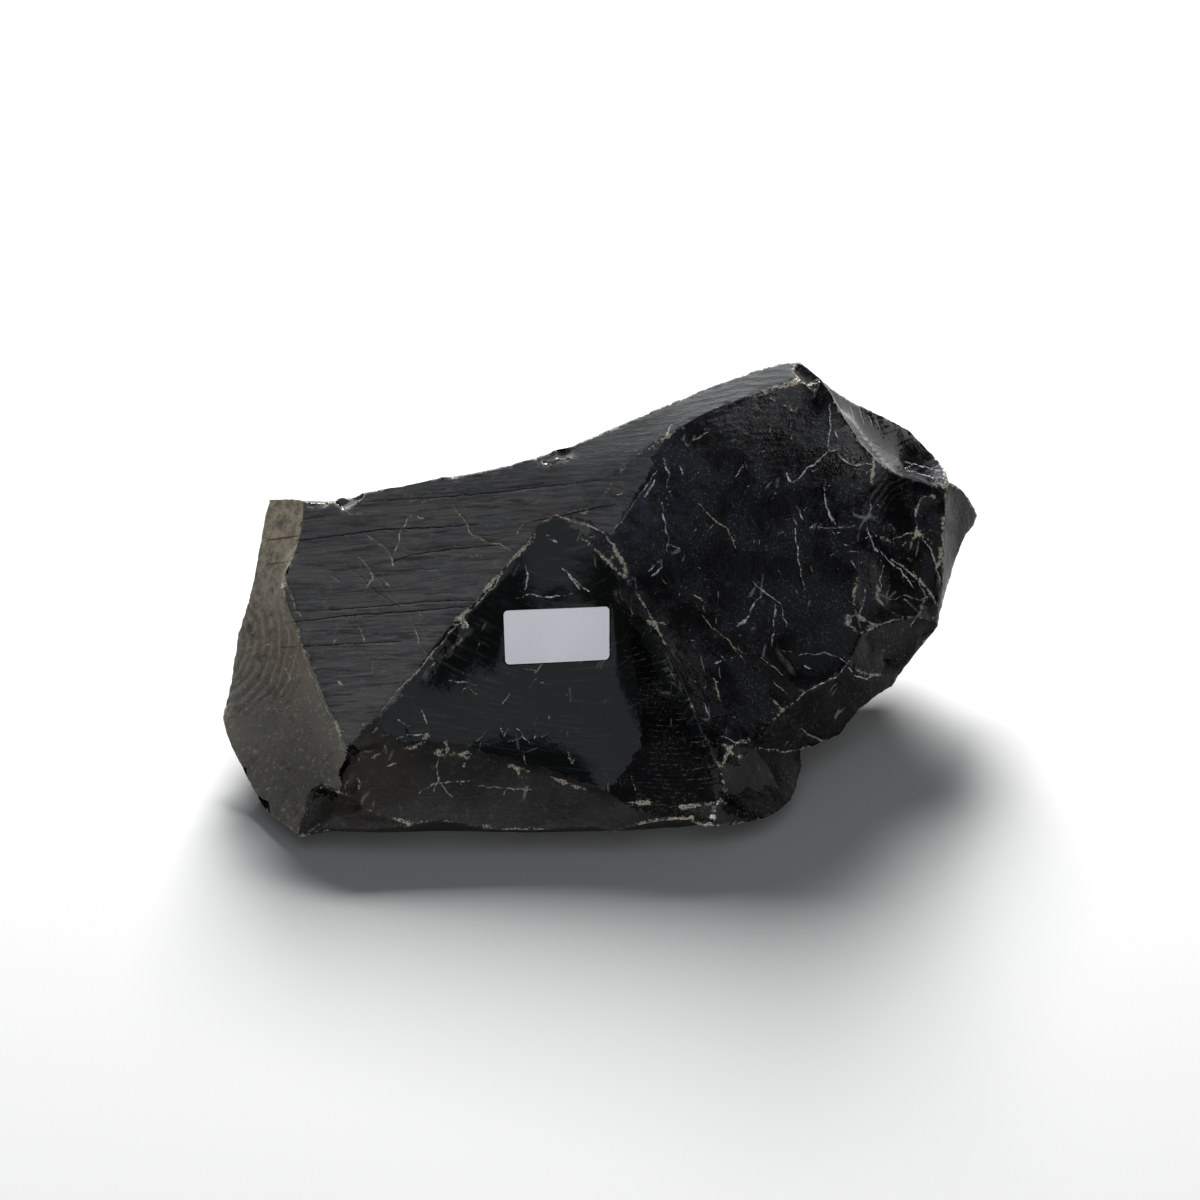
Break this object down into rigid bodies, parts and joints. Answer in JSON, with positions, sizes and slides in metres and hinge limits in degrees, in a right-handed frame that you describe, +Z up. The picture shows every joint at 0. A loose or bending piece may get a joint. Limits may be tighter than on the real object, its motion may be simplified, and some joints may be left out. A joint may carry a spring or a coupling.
{
  "type": "obsidian chunk",
  "caption": "Rough broken chunk of black volcanic glass with a weathered flat, glossy shell-like fracture hollows, crushed ridges and a small blank paper sticker.",
  "frame": {"origin": "on the resting plane, under the middle of the chunk's bounding box", "axes": "+Z up from the flat base, +X to the right and +Y away for a viewer who faces the sticker"},
  "size_m": [0.2782, 0.1682, 0.1207],
  "materials": {
    "obsidian": "glossy black volcanic glass, with a matt grey weathered flat, brown tints and pale crushed edges",
    "paper": "matt white paper"
  },
  "bodies": {
    "root": {"obsidian_chunk": "obsidian", "paper_sticker": "paper"}
  },
  "joints": []
}
